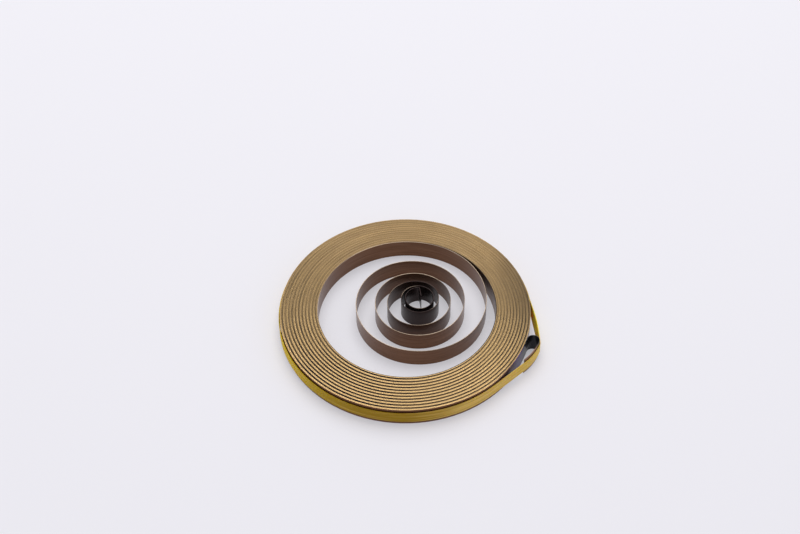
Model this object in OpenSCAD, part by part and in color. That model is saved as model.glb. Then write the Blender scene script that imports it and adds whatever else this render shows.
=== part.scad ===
// Flat spiral mainspring, held wound by a stretched band.
// The spring lies on Z = 0 with the axis of its arbor eye on Z. Seen from above it winds outwards
// anticlockwise, and the hooked outer end runs off the coil along +Y.

/* [Strip] */
// Width of the strip, which is the height of the coil
strip_w = 5; // [3:0.5:8]
// Thickness of the strip
strip_t = 0.14; // [0.1:0.01:0.16]

/* [Packed coil] */
// Outer diameter of the packed coil
coil_od = 60; // [56:1:70]
// Number of packed turns
coil_turns = 45; // [36:1:50]
// Mean gap between packed turns
turn_gap = 0.05; // [0.045:0.005:0.06]
// How far the packed turns lean towards the front (-Y) as they build up
coil_lean = 0.9; // [0:0.1:1]

/* [Arbor eye] */
// Diameter inside the eye
eye_d = 6.6; // [5:0.2:8]
// Distance of the eye from the middle of the coil, to the right (+X)
eye_x = 1.8; // [0:0.1:3]
// Distance of the eye from the middle of the coil, to the back (+Y)
eye_y = 3.8; // [2.6:0.1:5]
// Growth of the radius at each quarter turn of the eye
eye_step = 0.3; // [0.2:0.05:0.4]
// Direction of the tang, in degrees
tang_angle = 120; // [60:1:150]
// Straight length of the tang
tang_len = 2.2; // [1:0.1:2.4]
// Bend radius of the tang
tang_bend = 0.5; // [0.3:0.1:0.6]

/* [Open turns] */
// Number of open turns between the eye and the packed coil
open_turns = 3; // [2:1:4]
// Ratio of each quarter turn's growth to the one before
open_ratio = 1.12; // [1.08:0.01:1.2]
// Extra step with which the strip leaves the eye
leave_step = 1.1; // [0.5:0.1:1.4]
// Extra step with which it joins the packed coil
join_step = 1.5; // [0.5:0.1:1.8]

/* [Hook] */
// Straight run of the outer end off the coil
hook_run = 2.1; // [1.5:0.1:4]
// Outside diameter of the fold
hook_d = 3; // [2:0.1:3.6]
// Length of the tail that is folded back
hook_tail = 6.6; // [4:0.1:8]
// Radius to which the tail is curved
hook_tail_r = 14; // [12:0.5:20]

/* [Retaining band] */
// Width of the band
band_w = 3.1; // [2:0.1:4]
// Thickness of the band
band_t = 0.2; // [0.1:0.05:0.8]
// Height of the band's lower edge
band_z = 1; // [0.2:0.1:1.2]
// Clearance between the coil and the band
band_gap = 0.04; // [0.03:0.01:0.1]

/* [Hidden] */
$fn = 120;

// Directions of the joints between quarter turns: right, back, left and front
SIDES = [[1, 0], [0, 1], [-1, 0], [0, -1]];
// Lap that keeps the straights of the band from only just touching its curves
LAP = 0.01;

// Every arc starts where the one before it ends, so lengths are kept to whole microns
function micron(v) = round(v * 1000) / 1000;
function side(j) = SIDES[j % 4];
function total(list) = [for (v = list) 1] * list;
function polar(r, a) = r * [cos(a), sin(a)];

// Radii are those of the middle of the strip
eye_r = eye_d / 2 + strip_t / 2;
pitch = strip_t + turn_gap;
half_turns = 2 * coil_turns + 1;
// Growth at the back and front joints of the packed coil, which differ by the lean
back_step = micron((pitch + coil_lean / coil_turns) / 2);
front_step = micron((pitch - coil_lean / coil_turns) / 2);
packed_build = coil_turns * (back_step + front_step) + front_step;
packed_r = coil_od / 2 - strip_t / 2 - packed_build;

// Bend of the tang: its middle, with the bend let a little into the eye, and one of its faces
let_in = 0.3 * strip_t;
bend_c = polar(eye_r - tang_bend - let_in, tang_angle);
bend_sweep = 98;
bend_steps = 14;
function bend_face(out) = [
    for (k = [0:bend_steps])
        bend_c + polar(tang_bend + out, tang_angle - 90 + bend_sweep * k / bend_steps)
];

// Quarter turns of the eye, then of the open part, which ends at the back
eye_quarters = 4;
quarters = eye_quarters + 4 * open_turns + 2;
open_shares = [for (j = [eye_quarters:quarters - 1]) pow(open_ratio, j - eye_quarters)];
function share(s) = total([
    for (j = [eye_quarters:quarters - 1])
        if (j % 4 == s) open_shares[j - eye_quarters]
]);

// The open steps add up to the growth in radius, and the difference between opposite
// sides to the eye's place in the coil: three equations for a scale and two tilts
grow = packed_r - eye_r - eye_quarters * eye_step - leave_step - join_step;
sum_x = share(0) + share(2);
sum_y = share(1) + share(3);
dif_x = share(0) - share(2);
dif_y = share(1) - share(3);
off_y = eye_y - leave_step - join_step;
open_scale = (grow - dif_x * eye_x / sum_x - dif_y * off_y / sum_y)
    / (sum_x + sum_y - dif_x * dif_x / sum_x - dif_y * dif_y / sum_y);
tilt = [(eye_x - open_scale * dif_x) / sum_x, (off_y - open_scale * dif_y) / sum_y];

function open_step(j) = open_shares[j - eye_quarters] * (open_scale + tilt * side(j))
    + (j == eye_quarters + 1 ? leave_step : 0)
    + (j == quarters - 1 ? join_step : 0);
steps = [for (j = [0:quarters - 1]) micron(j < eye_quarters ? eye_step : open_step(j))];

// Centre and radius of each quarter turn, each step moving the centre back from its joint
radii = [for (j = 0, r = eye_r + steps[0]; j < quarters;
    j = j + 1, r = r + (j < quarters ? steps[j] : 0)) r];
centres = [for (j = 0, c = -steps[0] * side(0); j < quarters;
    j = j + 1, c = c - (j < quarters ? steps[j] : 0) * side(j)) c];

// The same for the half turns of the packed coil, from back to front and front to back
function packed_step(i) = i % 2 == 1 ? front_step : back_step;
half_radii = [for (i = 0, r = radii[quarters - 1]; i <= half_turns;
    i = i + 1, r = r + packed_step(i)) r];
half_centres = [for (i = 0, c = centres[quarters - 1]; i <= half_turns;
    i = i + 1, c = c + packed_step(i) * [0, i % 2 == 1 ? 1 : -1]) c];

// Where the outer end leaves the coil, and the middle of its fold
end_r = half_radii[half_turns];
end_c = half_centres[half_turns];
fold_r = micron(hook_d / 2 - strip_t / 2);
fold_c = end_c + [end_r + fold_r, hook_run];
tail_c = fold_c + [fold_r - hook_tail_r, 0];
tail_sweep = hook_tail / hook_tail_r * 180 / PI;

// Circles that the band is stretched round: the coil, the fold and the curve of the tail
rim_c = half_centres[half_turns - 1];
rim_r = end_r + strip_t / 2 + band_gap;
fold_rim_r = hook_d / 2 + band_gap;
tail_rim_r = hook_tail_r + strip_t / 2 + band_gap - LAP / 2;
// Directions in which the straights of the band face, above the hook and below it
function bearing(v) = atan2(v.y, v.x);
function lean_of(c, r) = acos((rim_r - r) / norm(c - rim_c));
upper_face = bearing(fold_c - rim_c) + lean_of(fold_c, fold_rim_r);
lower_face = bearing(tail_c - rim_c) - lean_of(tail_c, tail_rim_r);

// A bend of the strip
module arc(centre, r, from, sweep) {
    translate([centre.x, centre.y, 0])
        rotate_extrude(angle = sweep, start = from)
            translate([r - strip_t / 2, 0])
                square([strip_t, strip_w]);
}

// A straight of the strip, along +Y from the middle of its end
module straight(from, length) {
    translate([from.x - strip_t / 2, from.y, 0])
        cube([strip_t, length, strip_w]);
}

// Tang bent into the eye, for the arbor to catch
module tang() {
    outer = bend_face(strip_t / 2);
    inner = bend_face(-strip_t / 2);
    tip = -polar(tang_len, tang_angle);
    linear_extrude(strip_w)
        polygon(concat(
            [outer[0] + tip],
            outer,
            [for (k = [bend_steps:-1:0]) inner[k]],
            [inner[0] + tip]
        ));
}

// Eye and open turns
module open_spiral() {
    arc([0, 0], eye_r, tang_angle, 360 - tang_angle);
    for (j = [0:quarters - 2])
        arc(centres[j], radii[j], 90 * (j % 4), 90);
}

// Packed turns, half a turn at a time
module packed_coil() {
    for (i = [0:half_turns - 1])
        arc(half_centres[i], half_radii[i], i % 2 == 0 ? 90 : 270, 180);
    arc(end_c, end_r, 270, 90);
}

// Outer end, which leaves the coil and is folded back outside it
module hook() {
    straight(end_c + [end_r, 0], hook_run);
    arc(fold_c, fold_r, 0, 180);
    arc(tail_c, hook_tail_r, -tail_sweep, tail_sweep);
}

module mainspring() {
    color("#7a5c3e") {
        tang();
        open_spiral();
        packed_coil();
        hook();
    }
}

// Web between the coil and a circle of the hook, with its outer side on both
module band_web(centre, r, face, out, height) {
    linear_extrude(height)
        polygon([
            rim_c,
            rim_c + polar(rim_r + out - LAP / 2, face),
            centre + polar(r + out - LAP / 2, face),
            centre
        ]);
}

// Block round the coil and the hook
module band_block(out, height) {
    translate([rim_c.x, rim_c.y, 0])
        cylinder(r = rim_r + out, h = height);
    translate([fold_c.x, fold_c.y, 0])
        cylinder(r = fold_rim_r + out, h = height);
    translate([tail_c.x, tail_c.y, 0])
        rotate_extrude(angle = 5 - lower_face, start = lower_face - 5)
            square([tail_rim_r + out, height]);
    band_web(fold_c, fold_rim_r, upper_face, out, height);
    band_web(tail_c, tail_rim_r, lower_face, out, height);
}

module retaining_band() {
    color("#b1952f")
        translate([0, 0, band_z])
            difference() {
                band_block(band_t, band_w);
                translate([0, 0, -1])
                    band_block(0, band_w + 2);
            }
}

mainspring();
retaining_band();
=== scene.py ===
"""Models a flat spiral mainspring and the band that holds it wound, on a pale studio stage."""

from cmath import phase, rect
from math import acos, ceil, pi, radians, sin, tau
from types import SimpleNamespace

import bmesh
import bpy
from mathutils import Matrix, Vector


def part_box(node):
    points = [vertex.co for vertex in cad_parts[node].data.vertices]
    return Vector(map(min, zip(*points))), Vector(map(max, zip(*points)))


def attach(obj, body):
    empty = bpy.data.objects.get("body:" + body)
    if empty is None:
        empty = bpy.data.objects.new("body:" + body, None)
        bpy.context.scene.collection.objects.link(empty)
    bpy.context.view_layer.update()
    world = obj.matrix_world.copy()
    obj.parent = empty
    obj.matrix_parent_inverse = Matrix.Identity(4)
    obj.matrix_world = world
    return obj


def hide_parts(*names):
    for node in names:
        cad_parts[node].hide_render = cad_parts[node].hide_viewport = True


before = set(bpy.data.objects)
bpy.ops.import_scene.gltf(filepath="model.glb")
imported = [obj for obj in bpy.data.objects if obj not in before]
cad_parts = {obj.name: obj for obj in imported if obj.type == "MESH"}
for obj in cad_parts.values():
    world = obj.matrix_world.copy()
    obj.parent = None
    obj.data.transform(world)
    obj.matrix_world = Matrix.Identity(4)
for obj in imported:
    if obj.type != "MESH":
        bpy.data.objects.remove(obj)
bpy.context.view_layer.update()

bl_info = {
    "name": "Mainspring",
    "version": (1, 0, 0),
    "blender": (4, 5, 0),
    "location": "3D View > Sidebar > Mainspring",
    "description": "Models a flat spiral mainspring, its retaining band and a studio stage",
    "category": "Add Mesh",
}

MM = 0.001  # metres in a millimetre: meshes are modelled in millimetres and scaled at the end
UP = (0, 0, 1)
# Directions in which the colour changes, painted light and shade included: to the front of the coil, and to
# its right, where the hook is
FRONT = (0.375, -0.927, 0)
RIGHT = (0.927, 0.375, 0)
QUARTER, HALF = pi / 2, pi
EYE_QUARTERS = 4  # quarter turns in which the strip closes the eye
FACET = radians(4)  # largest angle between neighbouring sections of a bend
STRETCH = 0.8  # longest distance in millimetres between neighbouring sections of a straight
PAST_END = 1.01  # share of a bend past which a vertex can only be one of its start
WELD = 0.002  # millimetres within which the ends of neighbouring bends are joined
SHARP = radians(20)  # faces that meet at more than this keep a crisp edge
LINE_TURNS = 4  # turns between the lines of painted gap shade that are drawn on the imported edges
SENSOR = 36  # width of the camera's sensor in millimetres
CLIP_START, CLIP_END = 0.01, 20  # nearest and furthest distance in metres that the camera sees
FLOOR_REACH = 3  # metres from the middle of the floor to its sides


def linear(colour):
    """Linear RGBA of an sRGB hex colour."""
    shares = [int(colour[i : i + 2], 16) / 255 for i in (1, 3, 5)]
    return (*[c / 12.92 if c <= 0.04045 else ((c + 0.055) / 1.055) ** 2.4 for c in shares], 1.0)


def length(name, description, millimetres):
    """A length setting, with its default in millimetres."""
    return bpy.props.FloatProperty(
        name=name, description=description, default=millimetres * MM, unit="LENGTH", precision=6
    )


def colour(name, description, value):
    """A colour setting, with its default as an sRGB hex value."""
    return bpy.props.FloatVectorProperty(
        name=name, description=description, default=linear(value), subtype="COLOR", size=4, min=0, max=1
    )


def height_of(node):
    """Lower and upper edge of a node of the frame, in millimetres."""
    low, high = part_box(node)
    return low.z / MM, high.z / MM


STRIP_LOW, STRIP_HIGH = height_of("mainspring")
BAND_LOW, BAND_HIGH = height_of("retaining_band")


class MainspringSettings(bpy.types.PropertyGroup):
    """Sizes and colours of the spring."""

    strip_width: length("Strip width", "Width of the strip, the height of the coil", STRIP_HIGH - STRIP_LOW)
    strip_thickness: length("Strip thickness", "Thickness of the strip", 0.14)
    edge_rounding: length("Edge rounding", "Radius to which the slit edges are dressed", 0.045)
    coil_diameter: length("Coil diameter", "Outer diameter of the packed coil", 60)
    packed_turns: bpy.props.IntProperty(
        name="Packed turns", description="Number of packed turns", default=45
    )
    turn_gap: length("Turn gap", "Mean gap between packed turns", 0.05)
    coil_lean: length("Coil lean", "How far the packed turns lean to the front as they build up", 0.9)
    eye_diameter: length("Eye diameter", "Diameter inside the arbor eye", 6.6)
    eye_right: length("Eye to the right", "Distance of the eye from the middle of the coil", 1.8)
    eye_back: length("Eye to the back", "Distance of the eye from the middle of the coil", 3.8)
    eye_step: length("Eye step", "Growth of the radius at each quarter turn of the eye", 0.3)
    tang_direction: bpy.props.FloatProperty(
        name="Tang direction", description="Bearing of the tang", default=radians(120), subtype="ANGLE"
    )
    tang_length: length("Tang length", "Straight length of the tang", 2.2)
    tang_bend: length("Tang bend", "Bend radius of the tang", 0.5)
    open_turns: bpy.props.IntProperty(name="Open turns", description="Number of open turns", default=3)
    open_ratio: bpy.props.FloatProperty(
        name="Open ratio", description="Ratio of each quarter turn's growth to the one before", default=1.12
    )
    leave_step: length("Leave step", "Extra step with which the strip leaves the eye", 1.1)
    join_step: length("Join step", "Extra step with which it joins the packed coil", 1.5)
    hook_run: length("Hook run", "Straight run of the outer end off the coil", 2.1)
    hook_diameter: length("Hook diameter", "Outside diameter of the fold", 3)
    tail_length: length("Tail length", "Length of the tail that is folded back", 6.6)
    tail_radius: length("Tail radius", "Radius to which the tail is curved", 14)
    oxide: colour("Oxide", "Brown temper colour of the strip's faces", "#623C1D")
    oxide_light: colour("Light oxide", "Paler streaks of the rolling", "#785237")
    # Dark temper colour at the eye, used also as painted shade on the inner turns
    eye_tint: colour("Eye tint", "Darker temper colour at the eye", "#26120F")
    open_edge: colour("Open edge", "Slit edge of the open turns", "#B09C86")
    land: colour("Packed edge", "Golden slit edge of the packed turns", "#E4BE80")
    # Oxide in the gaps between the packed edges, darkened as painted shade
    gap_oxide_and_shade: colour("Groove", "Oxide down between the packed edges", "#1A1005")
    plum: colour("Plum", "Temper colour where the heated end begins", "#452838")
    violet: colour("Violet", "Temper colour nearer to the hook", "#4A3670")
    blue: colour("Blue", "Blue-black steel of the hook", "#121218")


class BandSettings(bpy.types.PropertyGroup):
    """Sizes and colours of the band."""

    low: length("Lower edge", "Height of the band's lower edge", BAND_LOW)
    width: length("Width", "Width of the band", BAND_HIGH - BAND_LOW)
    thickness: length("Thickness", "Thickness of the stretched band", 0.2)
    clearance: length("Clearance", "Clearance between the coil and the band", 0.04)
    rounding: length("Rounding", "Radius of the band's corners", 0.06)
    web_lean: length("Web lean", "How far the free web's upper edge rolls outwards", 0.4)
    rubber: colour("Rubber", "Yellow of the band", "#98780A")
    # Painted light: the brighter yellow away from the band's front
    stretched: colour("Stretched", "Brighter yellow where the rubber is stretched thin", "#DDBE1C")
    bloom: colour("Bloom", "Pale film on the rubber towards the hook", "#E0BC68")
    web: colour("Web", "Light yellow of the free web, which light shines through", "#F6E24C")


class StageSettings(bpy.types.PropertyGroup):
    """Camera, light and floor."""

    camera_place: bpy.props.FloatVectorProperty(
        name="Camera place",
        description="Where the camera stands",
        default=(0.08445, -0.22133, 0.27625),
        subtype="TRANSLATION",
        unit="LENGTH",
    )
    camera_bearing: bpy.props.FloatProperty(
        name="Camera bearing", description="Turn about Z", default=radians(22), subtype="ANGLE"
    )
    camera_pitch: bpy.props.FloatProperty(
        name="Camera pitch",
        description="Tilt up from straight down",
        default=radians(42.302),
        subtype="ANGLE",
    )
    camera_roll: bpy.props.FloatProperty(
        name="Camera roll",
        description="Turn about the line of sight",
        default=radians(-0.473),
        subtype="ANGLE",
    )
    lens: bpy.props.FloatProperty(
        name="Lens", description=f"Focal length on a {SENSOR} mm sensor", default=67.5, unit="CAMERA"
    )
    floor: colour("Floor", "Pale grey of the floor", "#EEEDF2")
    floor_glow: bpy.props.FloatProperty(
        name="Floor glow", description="Share of the floor's colour that is seen without shade", default=0.4
    )
    softbox_power: bpy.props.FloatProperty(
        name="Softbox power", description="Power of the large lamp overhead", default=3.7, unit="POWER"
    )
    softbox_size: bpy.props.FloatVectorProperty(
        name="Softbox size",
        description="Width and depth of the lamp",
        default=(0.6, 0.8),
        size=2,
        unit="LENGTH",
    )
    softbox_place: bpy.props.FloatVectorProperty(
        name="Softbox place",
        description="Where the lamp hangs: right, back and up from the origin, as the camera looks",
        default=(0, 0.45, 0.7),
        subtype="TRANSLATION",
        unit="LENGTH",
    )
    sky: bpy.props.FloatProperty(
        name="Sky", description="Strength of the even light all round", default=0.72
    )


def in_mm(settings):
    """The settings as plain values, with lengths in millimetres."""
    values = {}
    for prop in settings.bl_rna.properties:
        value = getattr(settings, prop.identifier)
        is_length = getattr(prop, "unit", "NONE") == "LENGTH" and not getattr(prop, "is_array", False)
        values[prop.identifier] = value / MM if is_length else value
    return SimpleNamespace(**values)


# In the plan of the winding a point is a complex number of millimetres, x + iy, seen from above.
def open_steps(s, eye_radius, packed_radius):
    """Growth at each quarter turn of the eye and the open turns.

    The open steps grow by a ratio. They add up to the growth in radius, and the difference between
    opposite sides to the eye's place in the coil: three equations for a scale and two tilts.
    """
    count = EYE_QUARTERS + 4 * s.open_turns + 2
    shares = {j: s.open_ratio ** (j - EYE_QUARTERS) for j in range(EYE_QUARTERS, count)}
    right, back, left, front = (sum(v for j, v in shares.items() if j % 4 == k) for k in range(4))
    sum_x, dif_x, sum_y, dif_y = right + left, right - left, back + front, back - front
    off_y = s.eye_back - s.leave_step - s.join_step
    grow = packed_radius - eye_radius - EYE_QUARTERS * s.eye_step - s.leave_step - s.join_step
    scale = (grow - dif_x * s.eye_right / sum_x - dif_y * off_y / sum_y) / (
        sum_x + sum_y - dif_x**2 / sum_x - dif_y**2 / sum_y
    )
    tilt_x, tilt_y = (s.eye_right - scale * dif_x) / sum_x, (off_y - scale * dif_y) / sum_y
    tilts = (tilt_x, tilt_y, -tilt_x, -tilt_y)
    steps = [s.eye_step] * EYE_QUARTERS + [v * (scale + tilts[j % 4]) for j, v in shares.items()]
    steps[EYE_QUARTERS + 1] += s.leave_step
    steps[-1] += s.join_step
    return [round(step, 3) for step in steps]


def wind(s):
    """Route of the strip's middle line from the tang to the hook's tail.

    A bend of the route is (centre, angle), anticlockwise where positive, and a straight (None, move).
    """
    eye_radius = (s.eye_diameter + s.strip_thickness) / 2
    pitch = s.strip_thickness + s.turn_gap
    lean = s.coil_lean / s.packed_turns
    back, front = round((pitch + lean) / 2, 3), round((pitch - lean) / 2, 3)
    build = s.packed_turns * (back + front) + front
    steps = open_steps(s, eye_radius, (s.coil_diameter - s.strip_thickness) / 2 - build)

    outward = rect(1, s.tang_direction)
    bend = outward * (eye_radius - s.tang_bend)
    start = bend - outward * (s.tang_length + 1j * s.tang_bend)
    route = [(None, outward * s.tang_length), (bend, QUARTER), (0j, tau - s.tang_direction)]
    centre, radius = 0j, eye_radius
    for j, step in enumerate(steps):
        centre -= step * 1j ** (j % 4)
        radius += step
        route.append((centre, QUARTER))
    route.pop()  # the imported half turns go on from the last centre
    open_end = len(route)
    for i in range(2 * s.packed_turns + 1):
        rim = centre
        route.append((centre, HALF))
        centre += -1j * back if i % 2 else 1j * front
        radius += back if i % 2 else front
    route.append((centre, QUARTER))
    fold_radius = (s.hook_diameter - s.strip_thickness) / 2
    fold = centre + radius + fold_radius + 1j * s.hook_run
    tail = fold + fold_radius - s.tail_radius
    route += [(None, 1j * s.hook_run), (fold, -HALF), (tail, -s.tail_length / s.tail_radius)]
    return SimpleNamespace(
        start=start, route=route, open_end=open_end, rim=rim, rim_radius=radius, fold=fold, tail=tail
    )


def band_route(s, b):
    """Start and route of the band's middle line, round the coil and over the hook."""
    w = wind(s)
    outside = (s.strip_thickness + b.thickness) / 2 + b.clearance
    rim_radius = w.rim_radius + outside
    tail_radius = s.tail_radius + outside
    fold_radius = (s.hook_diameter - s.strip_thickness) / 2 + outside
    upper = phase(w.fold - w.rim) + acos((rim_radius - fold_radius) / abs(w.fold - w.rim))
    lower = phase(w.tail - w.rim) - acos((rim_radius - tail_radius) / abs(w.tail - w.rim))
    start = w.rim + rect(rim_radius, upper)
    return start, [
        (w.rim, tau + lower - upper),
        (None, w.tail - w.rim + rect(tail_radius - rim_radius, lower)),
        (w.tail, -lower),
        (w.fold, upper),
        (None, w.rim - w.fold + rect(rim_radius - fold_radius, upper)),
    ]


def draw_section(bm, middle, heading, size):
    """Upright section of a strip, with rounded corners, at one point of its route."""
    across = heading * 1j * size.thickness / 2
    corners = [
        (middle - across, size.low),
        (middle + across, size.low),
        (middle + across, size.high),
        (middle - across, size.high),
    ]
    face = bm.faces.new([bm.verts.new((p.real, p.imag, z)) for p, z in corners])
    bmesh.ops.bevel(
        bm,
        geom=face.verts[:],
        offset=size.rounding,
        offset_type="OFFSET",
        segments=2,
        profile=0.5,
        affect="VERTICES",
        material=-1,
    )
    bmesh.ops.delete(bm, geom=bm.faces[:], context="FACES_ONLY")
    return bm.verts[:] + bm.edges[:]


def sweep(size, middle, heading, route):
    """Carries a section along a route, and notes on each vertex the length and the turns behind it.

    Each bend is spun in a small mesh of its own, because spinning slows down as a mesh grows.
    """
    whole, scrap = bmesh.new(), bpy.data.meshes.new("bend")
    run = turn = 0.0
    for centre, move in route:
        bend = bmesh.new()
        run_layer, turn_layer = (bend.verts.layers.float.new(name) for name in ("run", "turn"))
        section = draw_section(bend, middle, heading, size)
        if centre is None:
            span, turns = abs(move), 0.0
            steps = ceil(span / STRETCH)
            step = move / steps
            bmesh.ops.spin(bend, geom=section, axis=UP, dvec=(step.real, step.imag, 0), steps=steps)
        else:
            arm = middle - centre
            span, turns = abs(arm * move), abs(move) / tau
            steps = ceil(abs(move) / FACET)
            pivot = (centre.real, centre.imag, 0)
            bmesh.ops.spin(bend, geom=section, cent=pivot, axis=UP, angle=move, steps=steps)
        for vert in bend.verts:
            point = complex(vert.co.x, vert.co.y)
            if centre is None:
                done = ((point - middle) / move).real
            else:
                swung = phase((point - centre) / arm)
                done = (swung if move > 0 else -swung) % tau / abs(move)
                done = done if done <= PAST_END else 0.0
            vert[run_layer] = run + span * done
            vert[turn_layer] = turn + turns * done
        bend.to_mesh(scrap)
        bend.free()
        whole.from_mesh(scrap)
        middle = middle + move if centre is None else centre + arm * rect(1, move)
        heading = heading if centre is None else heading * rect(1, move)
        run += span
        turn += turns
    bpy.data.meshes.remove(scrap)
    return whole, run


def lean_web(bm, b, total_run, web):
    """Rolls the band's last straight outwards, where nothing is behind it to keep it upright.

    It notes on each vertex how free it is: 1 in the middle of this web, and 0 where the band is held.
    """
    free_layer = bm.verts.layers.float.new("free")
    run_layer = bm.verts.layers.float["run"]
    outward = web / abs(web) * -1j
    for vert in bm.verts:
        along = 1 - (total_run - vert[run_layer]) / abs(web)
        if along > 0:
            vert[free_layer] = sin(pi * along)
            lean = b.web_lean * vert[free_layer] * (vert.co.z - b.low) / b.width
            vert.co.x += outward.real * lean
            vert.co.y += outward.imag * lean


def finish_piece(bm, name, material, node):
    """Closes a mesh, brings it to metres and sets it in the frame in place of its node."""
    bmesh.ops.remove_doubles(bm, verts=bm.verts, dist=WELD)
    bmesh.ops.holes_fill(bm, edges=[edge for edge in bm.edges if edge.is_boundary])
    bmesh.ops.recalc_face_normals(bm, faces=bm.faces)
    bmesh.ops.scale(bm, vec=(MM, MM, MM), verts=bm.verts)
    mesh = bpy.data.meshes.new(name)
    bm.to_mesh(mesh)
    bm.free()
    mesh.shade_smooth()
    mesh.set_sharp_from_angle(angle=SHARP)
    mesh.materials.append(material)
    piece = bpy.data.objects.new(name, mesh)
    bpy.context.scene.collection.objects.link(piece)
    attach(piece, "root")
    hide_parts(node)


def add(tree, kind, inputs=None, **settings):
    """Adds a node, sets its properties, and gives each input named a value or a link.

    Inputs that share a name go by number. On a MapRange, 1 and 2 are the range from, and 3 and 4 the range
    to. On a Mix, 0 is the share of the second, 2 and 3 are numbers, 6 and 7 colours and output 2 a colour.
    """
    node = tree.nodes.new("ShaderNode" + kind)
    for name, value in settings.items():
        setattr(node, name, value)
    for name, value in (inputs or {}).items():
        if isinstance(value, bpy.types.NodeSocket):
            tree.links.new(value, node.inputs[name])
        else:
            node.inputs[name].default_value = value
    return node


def new_material(name):
    """An empty material and the node that its surface goes to."""
    material = bpy.data.materials.new(name)
    material.use_nodes = True
    tree = material.node_tree
    tree.nodes.clear()
    return material, tree, add(tree, "OutputMaterial")


def seen_ray(tree):
    """1 for rays that see the floor or the world, also in metal and glass, and 0 for those that light."""
    path = add(tree, "LightPath").outputs
    seen = add(tree, "Math", {0: path["Is Camera Ray"], 1: path["Is Glossy Ray"]}, operation="MAXIMUM")
    seen = add(tree, "Math", {0: seen.outputs[0], 1: path["Is Transmission Ray"]}, operation="MAXIMUM")
    return seen.outputs[0]


def open_edges(tree, s, turn, clear_of_eye_shade, edge_glint_noise, packed_from):
    """Slit edges of the open turns: painted dark at the eye, and further out with painted highlights here
    and dull stretches there.

    On the first packed turn they are painted dark, as painted shade of the gap beside it.
    """
    # Painted dark towards the eye, as the faces are
    bright = add(tree, "MapRange", {"Value": clear_of_eye_shade, 3: 0.25, 4: 1.0})
    # Painted highlights and dull stretches along the edges
    painted_glint_and_dulling = add(tree, "MapRange", {"Value": edge_glint_noise, 1: 0.4, 2: 0.6, 3: -0.6, 4: 0.1})
    bright = add(tree, "Math", {0: bright.outputs[0], 1: painted_glint_and_dulling.outputs[0]}, operation="ADD")
    edges = add(tree, "Mix", {0: bright.outputs[0], 6: s.eye_tint, 7: s.open_edge}, data_type="RGBA")
    # Painted shade of the gap beside the first packed turn
    dark = add(tree, "MapRange", {"Value": turn, 1: packed_from + 0.3, 2: packed_from + 0.7})
    edges = add(tree, "Mix", {0: dark.outputs[0], 6: edges.outputs[2], 7: s.gap_oxide_and_shade}, data_type="RGBA")
    return edges.outputs[2]


def packed_edges(tree, s, place, turn, edge_glint_noise):
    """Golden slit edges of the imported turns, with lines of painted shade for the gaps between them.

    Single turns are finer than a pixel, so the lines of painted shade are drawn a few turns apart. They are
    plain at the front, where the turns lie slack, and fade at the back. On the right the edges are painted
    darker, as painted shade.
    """
    faded = 0.34  # share of gold where the lines have faded into one tone
    # Lines of painted shade for the gaps between the turns
    wave = add(tree, "Math", {0: turn, 1: LINE_TURNS / 2}, operation="PINGPONG").outputs[0]
    line = add(tree, "MapRange", {"Value": wave, 1: 0.65, 2: 1.2}, interpolation_type="SMOOTHSTEP")
    toward = add(tree, "VectorMath", {0: place, 1: FRONT}, operation="DOT_PRODUCT").outputs["Value"]
    slack = add(tree, "MapRange", {"Value": toward, 1: 0.0, 2: 24 * MM, 3: 0.13, 4: 1.0})
    gold = add(tree, "Mix", {0: slack.outputs[0], 2: faded, 3: line.outputs[0]})
    # Painted highlight and shade along the edges
    level = add(tree, "MapRange", {"Value": edge_glint_noise, 1: 0.3, 2: 0.7, 3: -0.1, 4: 0.1})
    # Painted shade: the edges are darker on the right of the coil
    beside = add(tree, "VectorMath", {0: place, 1: RIGHT}, operation="DOT_PRODUCT").outputs["Value"]
    painted_right_shade = add(tree, "MapRange", {"Value": beside, 1: 17 * MM, 2: 25 * MM, 4: -0.18})
    for change in (level, painted_right_shade):
        gold = add(tree, "Math", {0: gold.outputs[0], 1: change.outputs[0]}, operation="ADD")
    edges = add(tree, "Mix", {0: gold.outputs[0], 6: s.gap_oxide_and_shade, 7: s.land}, data_type="RGBA")
    return edges.outputs[2]


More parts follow.
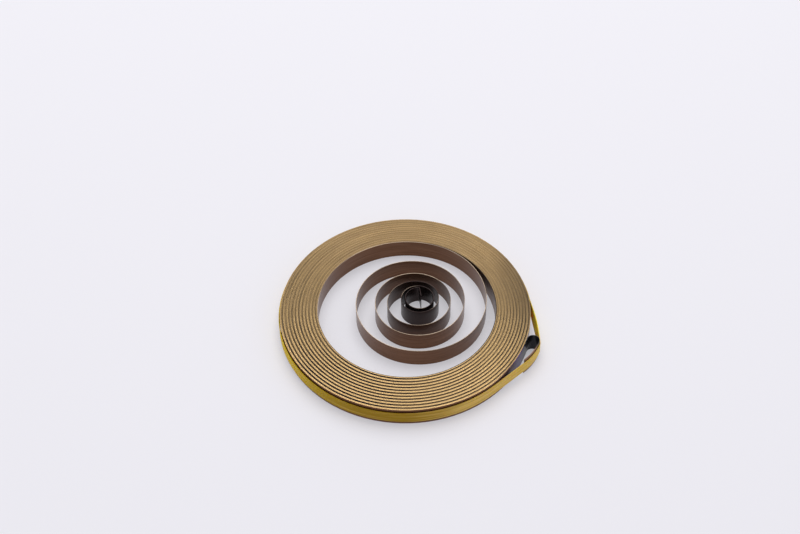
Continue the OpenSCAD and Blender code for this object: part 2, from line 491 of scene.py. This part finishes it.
def tempered_spring_steel(s, total_run, packed_from):
    """Cold-rolled carbon steel strip, hardened and tempered.

    Tempering leaves a thin brown oxide on the rolled faces, which shine softly along the strip. The slit
    edges are brighter and more golden. The hook was heated again to be folded, which blued it.
    """
    material, tree, output = new_material("tempered_spring_steel")
    place = add(tree, "TexCoord").outputs
    run = add(tree, "Attribute", attribute_name="run").outputs["Fac"]
    turn = add(tree, "Attribute", attribute_name="turn").outputs["Fac"]

    # Streaks of the rolling, in millimetres
    streak_length, streak_width = 9, 0.5
    height = add(tree, "SeparateXYZ", {0: place["Object"]}).outputs["Z"]
    along = add(tree, "Math", {0: run, 1: 1 / streak_length}, operation="MULTIPLY")
    across = add(tree, "Math", {0: height, 1: 1 / (streak_width * MM)}, operation="MULTIPLY")
    on_strip = add(tree, "CombineXYZ", {"X": along.outputs[0], "Y": across.outputs[0]}).outputs[0]
    streaks = add(tree, "TexNoise", {"Vector": on_strip, "Scale": 1.0, "Detail": 3.0}).outputs["Fac"]

    # Faces: dark temper colour at the eye, with painted shade on the inner turns, turning brown after some
    # more millimetres of strip
    eye_end, brown_from = 36, 125
    clear_of_eye_shade = add(tree, "MapRange", {"Value": run, 1: eye_end, 2: brown_from}).outputs[0]
    streak = add(tree, "MapRange", {"Value": streaks, 1: 0.35, 2: 0.75})
    rolled = add(tree, "Mix", {0: streak.outputs[0], 6: s.oxide, 7: s.oxide_light}, data_type="RGBA")
    faces = add(tree, "Mix", {0: clear_of_eye_shade, 6: s.eye_tint, 7: rolled.outputs[2]}, data_type="RGBA")

    # Edges: painted highlight and shade, as if a turn or two stood a little higher or lower for some
    # millimetres
    level_length = 12
    stretch = add(tree, "Math", {0: run, 1: 1 / level_length}, operation="MULTIPLY")
    on_coil = add(tree, "CombineXYZ", {"X": stretch.outputs[0], "Y": turn}).outputs[0]
    edge_glint_noise = add(tree, "TexNoise", {"Vector": on_coil, "Scale": 1.0, "Detail": 2.0}).outputs["Fac"]
    inner = open_edges(tree, s, turn, clear_of_eye_shade, edge_glint_noise, packed_from)
    outer = packed_edges(tree, s, place["Object"], turn, edge_glint_noise)
    packed = add(tree, "MapRange", {"Value": turn, 1: packed_from + 1.0, 2: packed_from + 1.1})
    edges = add(tree, "Mix", {0: packed.outputs[0], 6: inner, 7: outer}, data_type="RGBA")

    facing = add(tree, "SeparateXYZ", {0: place["Normal"]})
    upright = add(tree, "Math", {0: facing.outputs["Z"]}, operation="ABSOLUTE")
    on_edge = add(tree, "MapRange", {"Value": upright.outputs[0], 1: 0.3, 2: 0.75}).outputs[0]
    steel = add(tree, "Mix", {0: on_edge, 6: faces.outputs[2], 7: edges.outputs[2]}, data_type="RGBA")

    # Temper colours of the heated end, and how many millimetres before the end of the strip each begins and
    # is full. The tip of the tail is brown again.
    heated = ((s.plum, 28, 22), (s.violet, 20.5, 17.5), (s.blue, 16.5, 13), (s.oxide_light, 6, 4))
    for tint, begins, full in heated:
        reach = add(tree, "MapRange", {"Value": run, 1: total_run - begins, 2: total_run - full})
        steel = add(tree, "Mix", {0: reach.outputs[0], 6: steel.outputs[2], 7: tint}, data_type="RGBA")

    # The fine scratches of rolling and slitting run along the strip, and spread the shine across it
    rough = add(tree, "MapRange", {"Value": streaks, 3: 0.3, 4: 0.46})
    bump = add(tree, "Bump", {"Height": streaks, "Strength": 0.1, "Distance": 0.02 * MM})
    grain = add(tree, "Tangent", direction_type="RADIAL", axis="Z")
    shader = add(
        tree,
        "BsdfPrincipled",
        {
            "Base Color": steel.outputs[2],
            "Metallic": 0.9,
            "Roughness": rough.outputs[0],
            "Anisotropic": 0.45,
            "Anisotropic Rotation": 0.25,
            "Tangent": grain.outputs[0],
            "Coat Weight": 0.35,
            "Coat Roughness": 0.2,
            "Normal": bump.outputs[0],
        },
    )
    tree.links.new(shader.outputs[0], output.inputs["Surface"])
    return material


def yellow_rubber(b):
    """Calendered natural rubber, coloured yellow.

    It is matt, with fine lines along its run. It is painted a brighter yellow away from the front, which
    stays darker as painted shade, lets light through where it is free and is painted a light yellow there
    as painted light, and has a pale film.
    """
    material, tree, output = new_material("stretched_yellow_rubber")
    place = add(tree, "TexCoord").outputs["Object"]
    free = add(tree, "Attribute", attribute_name="free").outputs["Fac"]

    # Lines of the calendering, along the band and across it
    line_length, line_width = 14 * MM, 0.45 * MM
    scale = (1 / line_length, 1 / line_length, 1 / line_width)
    grain = add(tree, "VectorMath", {0: place, 1: scale}, operation="MULTIPLY").outputs[0]
    lines = add(tree, "TexNoise", {"Vector": grain, "Scale": 1.0, "Detail": 3.0}).outputs["Fac"]

    # Painted brighter away from the front, which stays darker as painted shade
    toward = add(tree, "VectorMath", {0: place, 1: FRONT}, operation="DOT_PRODUCT").outputs["Value"]
    thin = add(tree, "MapRange", {"Value": toward, 1: 32 * MM, 2: 14 * MM, 4: 0.8})
    yellow = add(tree, "Mix", {0: thin.outputs[0], 6: b.rubber, 7: b.stretched}, data_type="RGBA")

    # A pale film, thicker along some of the lines and growing towards the hook's side, and missing on the
    # free web
    beside = add(tree, "VectorMath", {0: place, 1: RIGHT}, operation="DOT_PRODUCT").outputs["Value"]
    paler_towards_hook = add(tree, "MapRange", {"Value": beside, 1: -4 * MM, 2: 12 * MM, 4: 0.75})
    film = add(tree, "MapRange", {"Value": lines, 1: 0.35, 2: 0.75, 3: -0.35, 4: 0.5})
    film = add(tree, "Math", {0: film.outputs[0], 1: paler_towards_hook.outputs[0]}, operation="ADD")
    surface = add(tree, "Mix", {0: film.outputs[0], 6: yellow.outputs[2], 7: b.bloom}, data_type="RGBA")
    # Painted light: the free web is painted a light yellow for the light that shines through it
    surface = add(tree, "Mix", {0: free, 6: surface.outputs[2], 7: b.web}, data_type="RGBA")

    rough = add(tree, "MapRange", {"Value": lines, 3: 0.55, 4: 0.75})
    bump = add(tree, "Bump", {"Height": lines, "Strength": 0.25, "Distance": 0.06 * MM})
    shader = add(
        tree,
        "BsdfPrincipled",
        {
            "Base Color": surface.outputs[2],
            "Roughness": rough.outputs[0],
            "IOR": 1.52,
            "Specular IOR Level": 0.2,
            "Subsurface Weight": 0.6,
            "Subsurface Radius": (1.0, 0.7, 0.15),
            "Subsurface Scale": 0.3 * MM,
            "Normal": bump.outputs[0],
        },
    )
    tree.links.new(shader.outputs[0], output.inputs["Surface"])
    return material


def matt_painted_board(stage):
    """Matt paint on board, which spreads the light and shines nowhere.

    A share of what is seen of it glows, so that it stays pale under plain light and still takes a shadow.
    """
    material, tree, output = new_material("matt_painted_board")
    board = add(tree, "BsdfPrincipled", {"Base Color": stage.floor, "Roughness": 0.8})
    glow = add(tree, "Emission", {"Color": stage.floor})
    share = add(tree, "Math", {0: seen_ray(tree), 1: stage.floor_glow}, operation="MULTIPLY")
    pale = add(tree, "MixShader", {0: share.outputs[0], 1: board.outputs[0], 2: glow.outputs[0]})
    tree.links.new(pale.outputs[0], output.inputs["Surface"])
    return material


class MAINSPRING_OT_strip(bpy.types.Operator):
    """Winds the strip from the tang in the eye to the folded hook"""

    bl_idname = "mainspring.strip"
    bl_label = "Wind the strip"

    def execute(self, context):
        s = in_mm(context.scene.mainspring)
        w = wind(s)
        size = SimpleNamespace(
            thickness=s.strip_thickness,
            low=STRIP_LOW,
            high=STRIP_LOW + s.strip_width,
            rounding=s.edge_rounding,
        )
        bm, total_run = sweep(size, w.start, rect(1, s.tang_direction), w.route)
        packed_from = sum(abs(move) for centre, move in w.route[: w.open_end] if centre is not None) / tau
        steel = tempered_spring_steel(s, total_run, packed_from)
        finish_piece(bm, "mainspring_strip", steel, "mainspring")
        return {"FINISHED"}


class MAINSPRING_OT_band(bpy.types.Operator):
    """Stretches the band round the coil and the hook"""

    bl_idname = "mainspring.band"
    bl_label = "Stretch the band"

    def execute(self, context):
        b = in_mm(context.scene.retaining_band)
        start, route = band_route(in_mm(context.scene.mainspring), b)
        size = SimpleNamespace(thickness=b.thickness, low=b.low, high=b.low + b.width, rounding=b.rounding)
        heading = 1j * (start - route[0][0]) / abs(start - route[0][0])
        bm, total_run = sweep(size, start, heading, route)
        lean_web(bm, b, total_run, route[-1][1])
        finish_piece(bm, "rubber_band", yellow_rubber(b), "retaining_band")
        return {"FINISHED"}


class MAINSPRING_OT_stage(bpy.types.Operator):
    """Lays the floor, hangs the lamp and sets up the camera"""

    bl_idname = "mainspring.stage"
    bl_label = "Set the stage"

    def execute(self, context):
        stage = context.scene.studio_stage
        scene = context.scene
        scene.view_settings.view_transform = "Standard"

        camera = bpy.data.objects.new("camera", bpy.data.cameras.new("camera"))
        camera.data.lens = stage.lens
        camera.data.sensor_width = SENSOR
        camera.data.clip_start, camera.data.clip_end = CLIP_START, CLIP_END
        turn = Matrix.Rotation(stage.camera_bearing, 4, "Z")
        tilt = Matrix.Rotation(stage.camera_pitch, 4, "X") @ Matrix.Rotation(stage.camera_roll, 4, "Z")
        camera.matrix_world = Matrix.Translation(stage.camera_place) @ turn @ tilt
        scene.collection.objects.link(camera)
        scene.camera = camera

        bm = bmesh.new()
        bmesh.ops.create_grid(bm, x_segments=1, y_segments=1, size=FLOOR_REACH)
        mesh = bpy.data.meshes.new("studio_floor")
        bm.to_mesh(mesh)
        bm.free()
        mesh.materials.append(matt_painted_board(stage))
        floor = bpy.data.objects.new("studio_floor", mesh)
        scene.collection.objects.link(floor)

        lamp = bpy.data.lights.new("softbox", "AREA")
        lamp.shape = "RECTANGLE"
        lamp.size, lamp.size_y = stage.softbox_size
        lamp.energy = stage.softbox_power
        softbox = bpy.data.objects.new("softbox", lamp)
        softbox.matrix_world = turn @ Matrix.Translation(stage.softbox_place)
        scene.collection.objects.link(softbox)

        world = bpy.data.worlds.new("studio")
        world.use_nodes = True
        tree = world.node_tree
        tree.nodes.clear()
        strength = add(tree, "MapRange", {"Value": seen_ray(tree), 3: stage.sky, 4: 1.0})
        sky = add(tree, "Background", {"Color": stage.floor, "Strength": strength.outputs[0]})
        out = add(tree, "OutputWorld")
        tree.links.new(sky.outputs[0], out.inputs["Surface"])
        scene.world = world
        return {"FINISHED"}


class MAINSPRING_PT_panel(bpy.types.Panel):
    """Lists the settings and the steps"""

    bl_label = "Mainspring"
    bl_idname = "MAINSPRING_PT_panel"
    bl_space_type = "VIEW_3D"
    bl_region_type = "UI"
    bl_category = "Mainspring"

    def draw(self, context):
        for group, operator in STEPS:
            column = self.layout.column()
            column.operator(operator)
            settings = getattr(context.scene, group)
            for name in settings.__annotations__:
                column.prop(settings, name)


GROUPS = {
    "mainspring": MainspringSettings,
    "retaining_band": BandSettings,
    "studio_stage": StageSettings,
}
STEPS = (
    ("studio_stage", "mainspring.stage"),
    ("mainspring", "mainspring.strip"),
    ("retaining_band", "mainspring.band"),
)
CLASSES = (
    *GROUPS.values(),
    MAINSPRING_OT_strip,
    MAINSPRING_OT_band,
    MAINSPRING_OT_stage,
    MAINSPRING_PT_panel,
)


def register():
    for cls in CLASSES:
        bpy.utils.register_class(cls)
    for name, group in GROUPS.items():
        setattr(bpy.types.Scene, name, bpy.props.PointerProperty(type=group))


def unregister():
    for name in GROUPS:
        delattr(bpy.types.Scene, name)
    for cls in reversed(CLASSES):
        bpy.utils.unregister_class(cls)


def main():
    """Makes the stage and the pieces."""
    register()
    bpy.ops.mainspring.stage()
    bpy.ops.mainspring.strip()
    bpy.ops.mainspring.band()


if __name__ == "__main__":
    main()
